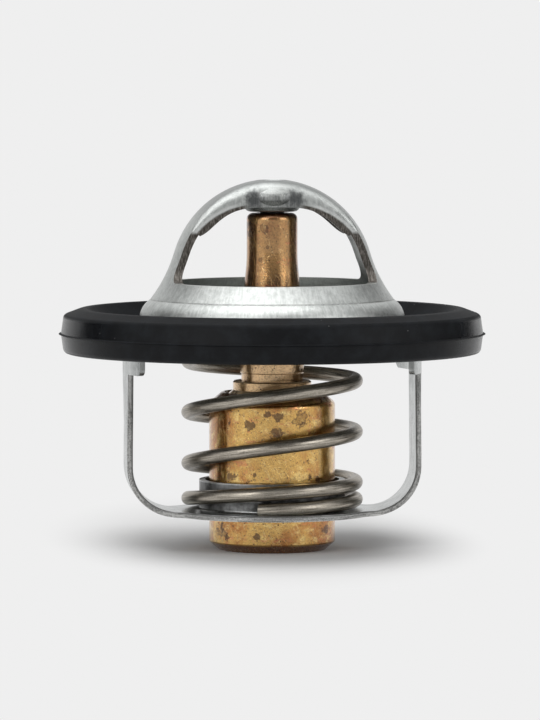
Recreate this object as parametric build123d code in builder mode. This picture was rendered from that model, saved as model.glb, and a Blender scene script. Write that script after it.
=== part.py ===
from build123d import *
import os
from math import acos, asin, cos, degrees, radians, sin, sqrt, tan

# Engine thermostat of the wax type: a domed upper frame with a pressed flange, a rubber gasket round
# the flange, a strap frame below, and a wax element whose piston pushes against the dome. Millimetres,
# +Z up, the origin in the middle of the element's flat base, the two legs of the frames along X.

# Wax case
case_r = 9.0
case_wall = 0.8
wax_chamber_wall = 1.4
case_floor = 1.2
case_foot_chamfer = (1.4, 1.2)
case_foot_round = 0.25
case_h = 21.0
crimp_angle = 40.0
crimp_round = 0.9
crimp_lip_round = 0.3
crimp_mouth_r = 6.8

# Guide of the piston
guide_flange_h = 1.05
boss_r = 5.6
boss_top_z = 24.1
boss_edge = 0.2
neck_r = 4.57
neck_waist_r = 4.4
neck_groove_z = 25.0
neck_groove_h = 0.16
stem_low_r = 4.0
stem_r = 3.63
stem_flare_z = 37.7
stem_flare_h = 3.3
stem_flare_round = 25.0
guide_top_z = 48.0
guide_top_round = 0.9
bore_lead_in = 0.3
cavity_r = 6.2
cavity_top_z = 24.6

# Piston and what lies under it
piston_r = 2.0
piston_length = 15.6
piston_tip_chamfer = 0.4
piston_tip_gap = 0.2
running_clearance = 0.05
seated_clearance = 0.02
backup_length = 1.2
plunger_length = 5.4
diaphragm_t = 1.0
diaphragm_round = 0.3

# Upper frame
sheet = 1.0
dome_top_z = 52.8
dome_r = 14.55
dome_flare_z = 42.4
crease_r = 17.35
crease_z = 35.7
skirt_r = 18.9
skirt_foot_z = 32.9
flange_top_z = 31.6
flange_bend_r = 1.0
flange_r = 28.0
sill_z = 38.15
bridge_half_w = 4.55
window_corner_r = 2.6
rib_end_angle = 58.0
# Sections of the bridge's rib: angle from the top, pinch of each side, drop of the edge, corner radius,
# depth of the wall
rib_sections = (
    (0, 0.4, 0.45, 2.0, 3.9),
    (18, 0.45, 0.5, 2.0, 3.45),
    (30, 0.25, 0.5, 1.6, 3.0),
    (42, 0.05, 0.55, 1.1, 2.8),
    (51, 0.0, 0.6, 0.75, 2.65),
)
rib_inner_round = 0.3
push_boss_foot_r = 3.6
push_boss_bulge = 0.45
push_boss_belly_h = 2.2
push_boss_cap_h = 1.2
push_boss_cap_in = 1.1
push_boss_round = 0.7
push_boss_belly_round = 1.2
dimple_r = 2.0
dimple_floor_r = 1.6
dimple_round = 0.4

# Gasket
gasket_foot_z = 28.1
gasket_wall = 1.7
gasket_belly_wall = 2.05
gasket_shoulder_z = 33.5
gasket_crest_z = 34.4
gasket_crest_setback = 0.7
gasket_crest_land = 0.9
gasket_grip = 4.0
gasket_lip_slope = 1.6
gasket_foot_round = 0.7
gasket_slot_play = 0.1
gasket_edge_round = 0.35
gasket_shoulder_round = 0.7
gasket_crest_round = 1.5
flash_z = 30.8
flash_proud = 0.35
flash_half_h = 0.16

# Lower frame
strap_t = 0.8
strap_w = 8.8
strap_foot_z = 5.0
strap_bend_r = 7.0
strap_half_span = 20.95
strap_straight_z = 14.0
seat_disc_r = 14.0
seat_flare_r = 6.0
collar_top_z = 10.0
collar_clearance = 0.6
collar_root_r = 0.8
head_r = 21.3
head_foot_z = 25.3
head_half_angle = 24.5
wing_foot_z = 27.6
wing_half_angle = 34.0
head_corner_r = 0.9
tab_half_angle = 9.0
tab_reach = 1.9
tab_bend_r = 0.6
slot_clearance = 0.1

# Return spring
wire_r = 1.0
spring_mean_r = 11.95
spring_turns = 4.5
spring_start_angle = -103.9
spring_ground = 0.35
closed_rise = 1.65
foot_ramp = (0.95, 1.4)
head_ramp = (0.32, 0.64)
spring_lean = 0.83
spring_lean_angle = -62.5
points_per_turn = 12

# Valve disc, its rubber and its ring
disc_t = 1.0
disc_seat_z = 30.5
disc_hub_drop = 0.6
disc_hub_r = 10.2
disc_step = 0.45
disc_seat_r = 13.6
disc_rim_r = 16.3
disc_rim_rise = 2.2
disc_round = 0.4
seal_gap = 0.35
seal_wrap = 65.0
seal_cover = 1.3
seal_skin = 0.55
ring_t = 0.8
ring_r = 5.2
ring_groove_r = 3.45
ring_half_gap = 22.0

# Sizes and places that follow from the ones above
bore_r = piston_r + running_clearance
case_bore_r = case_r - case_wall
wax_chamber_r = case_r - wax_chamber_wall
case_foot_r = case_r - case_foot_chamfer[0]
crimp_rise = tan(radians(crimp_angle))
crimp_drop = case_wall / cos(radians(crimp_angle))
guide_r = case_bore_r - seated_clearance
dimple_foot_z = guide_top_z + piston_tip_gap
piston_foot_z = dimple_foot_z - piston_length
backup_foot_z = piston_foot_z - backup_length
plunger_foot_z = backup_foot_z - plunger_length
dome_centre_z = dome_top_z - dome_r
flange_foot_z = flange_top_z - sheet
gasket_r = flange_r + gasket_wall
gasket_belly_r = flange_r + gasket_belly_wall
gasket_crest_r = flange_r - gasket_crest_setback
gasket_inner_r = flange_r - gasket_grip
strap_top_z = strap_foot_z + strap_t
disc_hub_z = disc_seat_z - disc_hub_drop
spring_foot_z = strap_top_z + wire_r - spring_ground
spring_head_z = disc_seat_z - wire_r + spring_ground
active_turns = spring_turns - sum(foot_ramp) / 2 - sum(head_ramp) / 2
active_rise = (spring_head_z - spring_foot_z - closed_rise * spring_turns) / active_turns
shoulder_arc_r = ((skirt_r - crease_r) ** 2 + (crease_z - skirt_foot_z) ** 2) / (2 * (skirt_r - crease_r))
shoulder_arc_x = skirt_r - shoulder_arc_r
seat_arc_r = shoulder_arc_r - sheet


def crimp_z(radius):
    """Height of the outside of the rolled mouth of the case at a radius."""
    return case_h + (case_r - radius) * crimp_rise


def corner(sketch, radius, height):
    """Gives the corner of a profile that lies nearest to a radius and a height."""
    return sketch.vertices().sort_by_distance((radius, height, 0))[0]


def sector(inner, outer, half_angle):
    """Draws a piece of a ring about +X, from one radius to another, in the current sketch."""
    with BuildLine() as outline:
        near = CenterArc((0, 0), inner, -half_angle, 2 * half_angle)
        far = CenterArc((0, 0), outer, -half_angle, 2 * half_angle)
        Line(near @ 0, far @ 0)
        Line(near @ 1, far @ 1)
    make_face(outline.edges())


def eased(turns, ramp):
    """Turns covered at full pitch by a pitch that grows smoothly from nothing over a ramp."""
    width = ramp[1] - ramp[0]
    u = min(max((turns - ramp[0]) / width, 0), 1)
    return width * (u**3 - u**4 / 2) + max(turns - ramp[1], 0)


def wire_middle(turn):
    """Middle of the spring's wire: both ends nearly closed, an even pitch between, a slight lean."""
    left = spring_turns - turn
    if turn < spring_turns / 2:
        covered = eased(turn, foot_ramp)
    else:
        covered = active_turns - eased(left, head_ramp)
    angle = radians(spring_start_angle + 360 * turn)
    lean = spring_lean * min(1, 2 * turn, 2 * left) * cos(angle - radians(spring_lean_angle))
    height = spring_foot_z + closed_rise * turn + active_rise * covered + lean
    return (spring_mean_r * cos(angle), spring_mean_r * sin(angle), height)


# Wax case: a deep cup whose mouth is rolled over the guide
with BuildPart() as wax_case:
    with BuildSketch(Plane.XZ) as profile:
        with BuildLine():
            Polyline(
                (0, 0),
                (case_foot_r, 0),
                (case_r, case_foot_chamfer[1]),
                (case_r, case_h),
                (crimp_mouth_r, crimp_z(crimp_mouth_r)),
                (crimp_mouth_r, crimp_z(crimp_mouth_r) - crimp_drop),
                (case_bore_r, crimp_z(case_bore_r) - crimp_drop),
                (case_bore_r, crimp_z(case_bore_r) - crimp_drop - guide_flange_h - diaphragm_t),
                (wax_chamber_r, crimp_z(case_bore_r) - crimp_drop - guide_flange_h - diaphragm_t),
                (wax_chamber_r, case_floor),
                (0, case_floor),
                close=True,
            )
        make_face()
        fillet(corner(profile, case_r, case_h), crimp_round)
        fillet(corner(profile, crimp_mouth_r, crimp_z(crimp_mouth_r)), crimp_lip_round)
        fillet(corner(profile, case_r, case_foot_chamfer[1]), case_foot_round)
        fillet(corner(profile, case_foot_r, 0), case_foot_round)
        fillet(corner(profile, wax_chamber_r, case_floor), case_floor / 2)
    revolve(axis=Axis.Z)
wax_case.part.label = "wax_case"

# Guide: a turned bush with a flange in the case, a neck, a shoulder for the disc and a long stem
cone_foot_z = crimp_z(guide_r) - crimp_drop
guide_foot_z = crimp_z(case_bore_r) - crimp_drop - guide_flange_h
ring_foot_z = disc_hub_z + disc_t
with BuildPart() as piston_guide:
    with BuildSketch(Plane.XZ) as profile:
        with BuildLine():
            Polyline(
                (cavity_r, guide_foot_z),
                (guide_r, guide_foot_z),
                (guide_r, cone_foot_z),
                (boss_r, crimp_z(boss_r) - crimp_drop),
                (boss_r, boss_top_z),
                (neck_waist_r, boss_top_z),
                (neck_waist_r, neck_groove_z + neck_groove_h),
                (neck_r, neck_groove_z + neck_groove_h),
                (neck_r, disc_hub_z),
                (stem_low_r, disc_hub_z),
                (stem_low_r, ring_foot_z),
                (ring_groove_r, ring_foot_z),
                (ring_groove_r, ring_foot_z + ring_t),
                (stem_low_r, ring_foot_z + ring_t),
                (stem_low_r, stem_flare_z),
                (stem_r, stem_flare_z + stem_flare_h),
                (stem_r, guide_top_z),
                (bore_r, guide_top_z),
                (bore_r, cavity_top_z),
                close=True,
            )
        make_face()
        chamfer(corner(profile, boss_r, boss_top_z), boss_edge)
        fillet(corner(profile, neck_r, neck_groove_z + neck_groove_h), neck_r - neck_waist_r)
        fillet(corner(profile, stem_low_r, stem_flare_z), stem_flare_round)
        fillet(corner(profile, stem_r, stem_flare_z + stem_flare_h), stem_flare_round)
        fillet(corner(profile, stem_r, guide_top_z), guide_top_round)
        chamfer(corner(profile, bore_r, guide_top_z), bore_lead_in)
    revolve(axis=Axis.Z)
piston_guide.part.label = "piston_guide"

# Diaphragm: a rubber disc gripped between the guide's flange and the step in the case
diaphragm_z = guide_foot_z - diaphragm_t
with BuildPart() as diaphragm:
    with BuildSketch(Plane.XY.offset(diaphragm_z)):
        Circle(case_bore_r - seated_clearance)
    extrude(amount=diaphragm_t)
    fillet(diaphragm.edges(), diaphragm_round)
diaphragm.part.label = "diaphragm"

# Wax charge: fills the chamber under the diaphragm
with BuildPart() as wax_charge:
    with BuildSketch(Plane.XY.offset(case_floor)):
        Circle(wax_chamber_r - seated_clearance)
    extrude(amount=diaphragm_z - case_floor)
    fillet(wax_charge.edges().sort_by(Axis.Z)[0], case_floor / 2 + seated_clearance)
wax_charge.part.label = "wax_charge"

# Transfer fluid: the paste in the guide's cavity, between the diaphragm and the plunger
with BuildPart() as transfer_fluid:
    with BuildSketch(Plane.XZ):
        with BuildLine():
            Polyline(
                (0, guide_foot_z),
                (cavity_r - seated_clearance, guide_foot_z),
                (piston_r, cavity_top_z),
                (piston_r, plunger_foot_z),
                (0, plunger_foot_z),
                close=True,
            )
        make_face()
    revolve(axis=Axis.Z)
transfer_fluid.part.label = "transfer_fluid"

# Plunger, backup disc and piston, one on another in the bore
with BuildPart() as rubber_plunger:
    with BuildSketch(Plane.XY.offset(plunger_foot_z)):
        Circle(piston_r)
    extrude(amount=plunger_length)
rubber_plunger.part.label = "rubber_plunger"

with BuildPart() as backup_disc:
    with BuildSketch(Plane.XY.offset(backup_foot_z)):
        Circle(piston_r)
    extrude(amount=backup_length)
backup_disc.part.label = "backup_disc"

with BuildPart() as piston:
    with BuildSketch(Plane.XY.offset(piston_foot_z)):
        Circle(piston_r)
    extrude(amount=piston_length)
    chamfer(piston.edges().sort_by(Axis.Z)[-1], piston_tip_chamfer)
piston.part.label = "piston"

# Valve disc: dished at the hub to centre the spring, coned up at the rim
with BuildPart() as valve_disc:
    with BuildSketch(Plane.XZ) as profile:
        with BuildLine():
            underside = Polyline(
                (stem_low_r + seated_clearance, disc_hub_z),
                (disc_hub_r, disc_hub_z),
                (disc_hub_r + disc_step, disc_seat_z),
                (disc_seat_r, disc_seat_z),
                (disc_rim_r, disc_seat_z + disc_rim_rise),
            )
            offset(underside, amount=disc_t, side=Side.LEFT, kind=Kind.INTERSECTION)
        make_face()
        fillet(corner(profile, disc_seat_r, disc_seat_z), disc_round + disc_t)
        fillet(corner(profile, disc_hub_r, ring_foot_z), disc_round)
    revolve(axis=Axis.Z)
valve_disc.part.label = "valve_disc"

# Valve seal: rubber moulded round the disc's rim, its lip following the seat inside the skirt
seal_arc_r = seat_arc_r - seal_gap
rim_top_z = disc_seat_z + disc_rim_rise + disc_t
with BuildPart() as valve_seal:
    with BuildSketch(Plane.XZ) as profile:
        with BuildLine():
            lip = CenterArc((shoulder_arc_x, skirt_foot_z), seal_arc_r, 0, seal_wrap)
            Polyline(
                lip @ 1,
                (disc_rim_r - seal_cover, rim_top_z - seal_skin / 2),
                (disc_rim_r - seal_cover, rim_top_z - 2 * seal_cover),
                (shoulder_arc_x + seal_arc_r, rim_top_z - 2 * seal_cover + seal_skin),
                lip @ 0,
            )
        make_face()
    revolve(axis=Axis.Z)
    add(valve_disc.part, mode=Mode.SUBTRACT)
valve_seal.part.label = "valve_seal"

# Retaining ring: a split ring in the guide's groove, which holds the disc down on the shoulder
with BuildPart() as retaining_ring:
    with BuildSketch(Plane.XY.offset(ring_foot_z)):
        Circle(ring_r)
        Circle(ring_groove_r + seated_clearance, mode=Mode.SUBTRACT)
        with BuildLine():
            reach = 2 * ring_r
            gap_angle = radians(ring_half_gap)
            Polyline(
                (0, 0),
                (reach * cos(gap_angle), reach * sin(gap_angle)),
                (reach * cos(gap_angle), -reach * sin(gap_angle)),
                close=True,
            )
        make_face(mode=Mode.SUBTRACT)
    extrude(amount=ring_t)
retaining_ring.part.label = "retaining_ring"

# Upper frame: one pressing, a flange with a skirt and a bridge that ends in a deep rib over the piston
with BuildPart() as upper_frame:
    flare_angle = degrees(asin((dome_flare_z - dome_centre_z) / dome_r))
    with BuildSketch(Plane.XZ) as profile:
        with BuildLine():
            crown = CenterArc((0, dome_centre_z), dome_r, 90, flare_angle - 90)
            flare = TangentArc(crown @ 1, (crease_r, crease_z), tangent=crown % 1)
            shoulder = CenterArc(
                (shoulder_arc_x, skirt_foot_z),
                shoulder_arc_r,
                degrees(acos((crease_r - shoulder_arc_x) / shoulder_arc_r)),
                -degrees(acos((crease_r - shoulder_arc_x) / shoulder_arc_r)),
            )
            skirt = Line(shoulder @ 1, (skirt_r, flange_top_z + flange_bend_r))
            bend = TangentArc(skirt @ 1, (skirt_r + flange_bend_r, flange_top_z), tangent=(0, -1))
            Line(bend @ 1, (flange_r, flange_top_z))
            offset(amount=sheet, side=Side.RIGHT)
        make_face()
    revolve(axis=Axis.Z)
    # Two windows leave a bridge of even width that widens into the skirt
    with BuildSketch(Plane.YZ) as windows:
        with BuildLine():
            reach = 2 * skirt_r
            Polyline(
                (bridge_half_w, sill_z),
                (reach, sill_z),
                (reach, sill_z + reach),
                (bridge_half_w, sill_z + reach),
                close=True,
            )
        make_face()
        fillet(corner(windows, bridge_half_w, sill_z), window_corner_r)
        mirror(about=Plane.YZ)
    extrude(amount=reach, both=True, mode=Mode.SUBTRACT)
    # The top of the bridge is taken out, and the rib is lofted in its place
    with BuildSketch(Plane.XZ):
        with BuildLine():
            side_x = reach * sin(radians(rib_end_angle))
            side_z = dome_centre_z + reach * cos(radians(rib_end_angle))
            Polyline(
                (0, dome_centre_z),
                (side_x, side_z),
                (0, dome_centre_z + 2 * reach),
                (-side_x, side_z),
                close=True,
            )
        make_face()
    extrude(amount=reach, both=True, mode=Mode.SUBTRACT)
    end_drop = dome_r - sqrt(dome_r**2 - bridge_half_w**2)
    end_depth = dome_r - sqrt((dome_r - sheet) ** 2 - bridge_half_w**2)
    half = rib_sections + ((rib_end_angle, 0, end_drop, rib_inner_round, end_depth + rib_inner_round),)
    for angle, pinch, drop, round_r, depth in [(-a, *rest) for a, *rest in reversed(half[1:])] + list(half):
        half_w = bridge_half_w - pinch
        outward = (sin(radians(angle)), 0, cos(radians(angle)))
        plane = Plane((0, 0, dome_centre_z), x_dir=(0, 1, 0), z_dir=(outward[2], 0, -outward[0]))
        arc_r = (half_w**2 + drop**2) / (2 * drop)
        inner_half = half_w - sheet
        inner_drop = arc_r - sheet - sqrt((arc_r - sheet) ** 2 - inner_half**2)
        with BuildSketch(plane) as section:
            with BuildLine():
                edge_r, low_r = dome_r - drop, dome_r - depth
                inner_edge_r = dome_r - sheet - inner_drop
                Line((half_w, low_r), (half_w, edge_r))
                ThreePointArc((half_w, edge_r), (0, dome_r), (-half_w, edge_r))
                Line((-half_w, edge_r), (-half_w, low_r))
                Line((-half_w, low_r), (-inner_half, low_r))
                Line((-inner_half, low_r), (-inner_half, inner_edge_r))
                ThreePointArc((-inner_half, inner_edge_r), (0, dome_r - sheet), (inner_half, inner_edge_r))
                Line((inner_half, inner_edge_r), (inner_half, low_r))
                Line((inner_half, low_r), (half_w, low_r))
            make_face()
            fillet([corner(section, side * half_w, edge_r) for side in (1, -1)], round_r)
    loft()
    # The middle is pressed down into a boss that the piston pushes against
    with BuildSketch(Plane.XZ) as boss:
        with BuildLine():
            belly_r = bridge_half_w + push_boss_bulge
            belly_z = dimple_foot_z + push_boss_belly_h
            Polyline(
                (0, dimple_foot_z),
                (push_boss_foot_r, dimple_foot_z),
                (belly_r, belly_z),
                (belly_r - push_boss_cap_in, belly_z + push_boss_cap_h),
                (0, belly_z + push_boss_cap_h),
                close=True,
            )
        make_face()
        fillet(corner(boss, push_boss_foot_r, dimple_foot_z), push_boss_round)
        fillet(corner(boss, belly_r, belly_z), push_boss_belly_round)
    revolve(axis=Axis.Z)
    with BuildSketch(Plane.XZ) as dimple:
        with BuildLine():
            Polyline(
                (0, dimple_foot_z + sheet),
                (dimple_floor_r, dimple_foot_z + sheet),
                (dimple_r, dome_top_z - dimple_round),
                (dimple_r + dimple_round, dome_top_z),
                (dimple_r + dimple_round, dome_top_z + sheet),
                (0, dome_top_z + sheet),
                close=True,
            )
        make_face()
        fillet(corner(dimple, dimple_floor_r, dimple_foot_z + sheet), dimple_round)
        fillet(corner(dimple, dimple_r, dome_top_z - dimple_round), dimple_round)
    revolve(axis=Axis.Z, mode=Mode.SUBTRACT)
    # Slots for the tabs of the lower frame
    with BuildSketch(Plane.XY.offset(flange_foot_z)):
        slot_angle = tab_half_angle + degrees(slot_clearance / head_r)
        sector(head_r - strap_t - slot_clearance, head_r + slot_clearance, slot_angle)
        mirror(about=Plane.YZ)
    extrude(amount=sheet, mode=Mode.SUBTRACT)
upper_frame.part.label = "upper_frame"

# Gasket: a rubber ring with a slot for the flange, a moulding line round its belly and a crest on top
with BuildPart() as flange_gasket:
    with BuildSketch(Plane.XZ) as profile:
        with BuildLine():
            lip_foot_r = gasket_inner_r + (flange_foot_z - gasket_foot_z) / gasket_lip_slope
            crest_in_r = gasket_crest_r - gasket_crest_land
            Polyline(
                (lip_foot_r, gasket_foot_z),
                (gasket_r, gasket_foot_z),
                (gasket_belly_r, flash_z - flash_half_h),
                (gasket_belly_r + flash_proud, flash_z),
                (gasket_belly_r, flash_z + flash_half_h),
                (gasket_r, gasket_shoulder_z),
                (gasket_crest_r, gasket_crest_z),
                (crest_in_r, gasket_crest_z),
                (gasket_inner_r, flange_top_z),
                (flange_r + gasket_slot_play, flange_top_z),
                (flange_r + gasket_slot_play, flange_foot_z),
                (gasket_inner_r, flange_foot_z),
                close=True,
            )
        make_face()
        fillet(corner(profile, gasket_r, gasket_foot_z), gasket_foot_round)
        fillet(corner(profile, gasket_r, gasket_shoulder_z), gasket_shoulder_round)
        fillet(corner(profile, gasket_crest_r, gasket_crest_z), gasket_crest_round)
        fillet(corner(profile, lip_foot_r, gasket_foot_z), gasket_edge_round)
        fillet(corner(profile, crest_in_r, gasket_crest_z), gasket_edge_round)
    revolve(axis=Axis.Z)
flange_gasket.part.label = "flange_gasket"

# Lower frame: one strap bent into a U, a disc with a drawn collar in its middle, and hooked heads
collar_r = case_r + collar_clearance
leg_top_angle = degrees(asin(strap_w / 2 / (head_r - strap_t / 2)))
with BuildPart() as lower_frame:
    with BuildSketch(Plane.XZ):
        with BuildLine():
            outside = FilletPolyline(
                (-strap_half_span, strap_straight_z),
                (-strap_half_span, strap_foot_z),
                (strap_half_span, strap_foot_z),
                (strap_half_span, strap_straight_z),
                radius=strap_bend_r,
            )
            offset(outside, amount=strap_t, side=Side.LEFT)
        make_face()
    extrude(amount=seat_disc_r, both=True)
    with BuildSketch(Plane.XY) as plan:
        Circle(seat_disc_r)
        Rectangle(4 * seat_disc_r, strap_w)
        inner = [v for v in plan.vertices() if abs(v.X) < strap_half_span]
        fillet(inner, seat_flare_r)
    extrude(amount=2 * head_foot_z, mode=Mode.INTERSECT)
    with BuildSketch(Plane.XY):
        Circle(collar_r + collar_root_r + strap_t)
    extrude(amount=strap_top_z, mode=Mode.SUBTRACT)
    with BuildSketch(Plane.XZ) as profile:
        with BuildLine():
            root_r = collar_r + collar_root_r + strap_t
            Polyline(
                (root_r, strap_foot_z),
                (collar_r, strap_foot_z),
                (collar_r, collar_top_z),
                (collar_r + strap_t, collar_top_z),
                (collar_r + strap_t, strap_top_z),
                (root_r, strap_top_z),
                close=True,
            )
        make_face()
        fillet(corner(profile, collar_r, strap_foot_z), collar_root_r + strap_t / 2)
        fillet(corner(profile, collar_r + strap_t, strap_top_z), collar_root_r / 2)
    revolve(axis=Axis.Z)
    for turn in (0, 180):
        base = Plane.XY.rotated((0, 0, turn))
        with BuildSketch(base.offset(strap_straight_z)):
            with Locations((strap_half_span - strap_t / 2, 0)):
                Rectangle(strap_t, strap_w)
        with BuildSketch(base.offset(head_foot_z)):
            sector(head_r - strap_t, head_r, leg_top_angle)
        loft(ruled=True)
        with BuildSketch(base.offset(head_foot_z)):
            sector(head_r - strap_t, head_r, head_half_angle)
        extrude(amount=flange_foot_z - head_foot_z)
        with BuildSketch(base.offset(wing_foot_z)):
            sector(head_r - strap_t, head_r, wing_half_angle)
        extrude(amount=flange_foot_z - wing_foot_z)
        with BuildSketch(base.offset(flange_foot_z)):
            sector(head_r - strap_t, head_r, tab_half_angle)
        extrude(amount=sheet + strap_t)
        with BuildSketch(base.offset(flange_top_z)):
            sector(head_r - strap_t, head_r + tab_reach, tab_half_angle)
        extrude(amount=strap_t)
    tab_top_z = flange_top_z + strap_t
    bends = lower_frame.edges().filter_by(GeomType.CIRCLE)
    bends = bends.filter_by(lambda e: abs(e.center().Z - tab_top_z) < 0.01)
    fillet(bends.filter_by(lambda e: abs(e.radius - head_r + strap_t) < 0.01), tab_bend_r)
    radial = lower_frame.edges().filter_by(GeomType.LINE).filter_by(lambda e: abs(e.length - strap_t) < 0.01)
    low_corners = radial.filter_by(lambda e: abs(e.center().Z - head_foot_z) < 0.01)
    fillet(low_corners.group_by(lambda e: -abs(e.center().Y))[0], head_corner_r)
lower_frame.part.label = "lower_frame"

# Return spring: round wire, ends laid nearly flat and ground
with BuildPart() as return_spring:
    with BuildLine() as coil:
        count = round(spring_turns * points_per_turn)
        Spline([wire_middle(spring_turns * n / count) for n in range(count + 1)])
    with BuildSketch(Plane(coil.line @ 0, z_dir=coil.line % 0)):
        Circle(wire_r)
    sweep(path=coil.line)
    ground = 4 * wire_r
    with BuildSketch(Plane.XY.offset(strap_top_z)):
        Circle(spring_mean_r + ground)
    extrude(amount=-ground, mode=Mode.SUBTRACT)
    with BuildSketch(Plane.XY.offset(disc_seat_z)):
        Circle(spring_mean_r + ground)
    extrude(amount=ground, mode=Mode.SUBTRACT)
return_spring.part.label = "return_spring"

os.makedirs("parts", exist_ok=True)
export_step(upper_frame.part, "parts/upper_frame.step")
export_step(lower_frame.part, "parts/lower_frame.step")
export_step(flange_gasket.part, "parts/flange_gasket.step")
export_step(return_spring.part, "parts/return_spring.step")
export_step(valve_disc.part, "parts/valve_disc.step")
export_step(valve_seal.part, "parts/valve_seal.step")
export_step(retaining_ring.part, "parts/retaining_ring.step")
export_step(wax_case.part, "parts/wax_case.step")
export_step(piston_guide.part, "parts/piston_guide.step")
export_step(piston.part, "parts/piston.step")
export_step(backup_disc.part, "parts/backup_disc.step")
export_step(rubber_plunger.part, "parts/rubber_plunger.step")
export_step(transfer_fluid.part, "parts/transfer_fluid.step")
export_step(diaphragm.part, "parts/diaphragm.step")
export_step(wax_charge.part, "parts/wax_charge.step")
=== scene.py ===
import logging
from dataclasses import dataclass
from enum import Enum
from math import cos, pi, radians, sin, tau
from typing import Any

import bmesh
import bpy
from mathutils import Matrix, Vector


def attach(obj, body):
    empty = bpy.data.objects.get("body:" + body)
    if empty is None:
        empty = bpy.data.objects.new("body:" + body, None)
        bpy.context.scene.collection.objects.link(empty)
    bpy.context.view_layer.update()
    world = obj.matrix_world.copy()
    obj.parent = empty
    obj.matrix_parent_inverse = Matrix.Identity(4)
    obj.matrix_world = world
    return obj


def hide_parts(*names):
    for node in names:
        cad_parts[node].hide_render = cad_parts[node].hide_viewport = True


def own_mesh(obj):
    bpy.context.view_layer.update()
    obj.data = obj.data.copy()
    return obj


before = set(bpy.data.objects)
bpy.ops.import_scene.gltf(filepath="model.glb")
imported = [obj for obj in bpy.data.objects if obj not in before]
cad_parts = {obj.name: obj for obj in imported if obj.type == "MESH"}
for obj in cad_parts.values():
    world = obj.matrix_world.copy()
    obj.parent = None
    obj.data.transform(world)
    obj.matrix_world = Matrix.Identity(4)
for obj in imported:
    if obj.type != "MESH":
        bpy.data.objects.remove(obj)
log = logging.getLogger("thermostat")

MM = 0.001
MERGE_DISTANCE = 1e-7
WHITE = (1.0, 1.0, 1.0)

Colour = tuple[float, float, float]
Triple = tuple[float, float, float]
Span = tuple[float, float]


class Operation(Enum):
    """Operations of the Math node."""

    ADD = "ADD"
    SUBTRACT = "SUBTRACT"
    MULTIPLY = "MULTIPLY"
    SIZE = "ABSOLUTE"
    LARGER = "MAXIMUM"
    ROOT = "SQRT"
    ANGLE = "ARCTAN2"


class Ray(Enum):
    """Outputs of the Light Path node that see the plain background."""

    CAMERA = "Is Camera Ray"
    GLOSSY = "Is Glossy Ray"
    TRANSMISSION = "Is Transmission Ray"


def find(sockets: Any, name: str | int) -> bpy.types.NodeSocket:
    """Finds a socket of a node by its place, identifier or name.

    Args:
        sockets: The node's inputs or outputs.
        name: Index, identifier or shown name.

    Returns:
        The socket.
    """
    if isinstance(name, int):
        return sockets[name]
    for socket in sockets:
        if socket.identifier == name:
            return socket
    return sockets[name]


class Wire:
    """An output socket that shader maths is written with as plain expressions."""

    def __init__(self, tree: bpy.types.NodeTree, socket: bpy.types.NodeSocket) -> None:
        """Wraps a socket.

        Args:
            tree: The node tree that the socket is in.
            socket: The output socket.
        """
        self.tree = tree
        self.socket = socket

    def math(self, operation: Operation, *values: "Wire | float") -> "Wire":
        """Adds one Math node.

        Args:
            operation: What the node does.
            values: Its sockets in order, as numbers or wires.

        Returns:
            The node's output.
        """
        node = self.tree.nodes.new("ShaderNodeMath")
        node.operation = operation.value
        for slot, value in enumerate(values):
            plug(self.tree, node.inputs[slot], value)
        return Wire(self.tree, node.outputs[0])

    def __add__(self, other: "Wire | float") -> "Wire":
        """Sum."""
        return self.math(Operation.ADD, self, other)

    def __sub__(self, other: "Wire | float") -> "Wire":
        """Difference."""
        return self.math(Operation.SUBTRACT, self, other)

    def __rsub__(self, other: float) -> "Wire":
        """Difference from a number."""
        return self.math(Operation.SUBTRACT, other, self)

    def __mul__(self, other: "Wire | float") -> "Wire":
        """Product."""
        return self.math(Operation.MULTIPLY, self, other)

    def __abs__(self) -> "Wire":
        """Size without its sign."""
        return self.math(Operation.SIZE, self)

    def larger(self, other: "Wire | float") -> "Wire":
        """The larger of two values."""
        return self.math(Operation.LARGER, self, other)

    def rise(self, low: float, high: float) -> "Wire":
        """Goes smoothly from 0 to 1 between two values.

        Args:
            low: Value at which it is 0.
            high: Value at which it is 1, which may be the smaller one.

        Returns:
            The mask.
        """
        node = self.tree.nodes.new("ShaderNodeMapRange")
        node.interpolation_type = "SMOOTHSTEP"
        flip = low > high
        plug(self.tree, node.inputs["Value"], self)
        node.inputs["From Min"].default_value = min(low, high)
        node.inputs["From Max"].default_value = max(low, high)
        node.inputs["To Min"].default_value = 1.0 if flip else 0.0
        node.inputs["To Max"].default_value = 0.0 if flip else 1.0
        return Wire(self.tree, node.outputs["Result"])

    def above(self, level: float, soft: float) -> "Wire":
        """Is 1 above a level and 0 below it.

        Args:
            level: Middle of the step.
            soft: Half of its width.

        Returns:
            The mask.
        """
        return self.rise(level - soft, level + soft)

    def below(self, level: float, soft: float) -> "Wire":
        """Is 1 below a level and 0 above it.

        Args:
            level: Middle of the step.
            soft: Half of its width.

        Returns:
            The mask.
        """
        return self.rise(level + soft, level - soft)


def plug(tree: bpy.types.NodeTree, target: bpy.types.NodeSocket, value: Any) -> None:
    """Links a wire to a socket, or sets the socket's own value.

    Args:
        tree: The node tree.
        target: The input socket.
        value: A wire, a number, a vector or a colour.
    """
    if isinstance(value, Wire):
        tree.links.new(value.socket, target)
    elif isinstance(value, tuple) and target.type == "RGBA":
        target.default_value = (*value, 1.0)
    else:
        target.default_value = value


def length(first: Wire, second: Wire) -> Wire:
    """Length of a flat vector.

    Args:
        first: Its first part.
        second: Its second part.

    Returns:
        The length.
    """
    return first.math(Operation.ROOT, first * first + second * second)


def angle(x: Wire, y: Wire) -> Wire:
    """Angle of a flat vector.

    Args:
        x: Its part along X.
        y: Its part along Y.

    Returns:
        The angle in radians.
    """
    return y.math(Operation.ANGLE, y, x)


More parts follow.
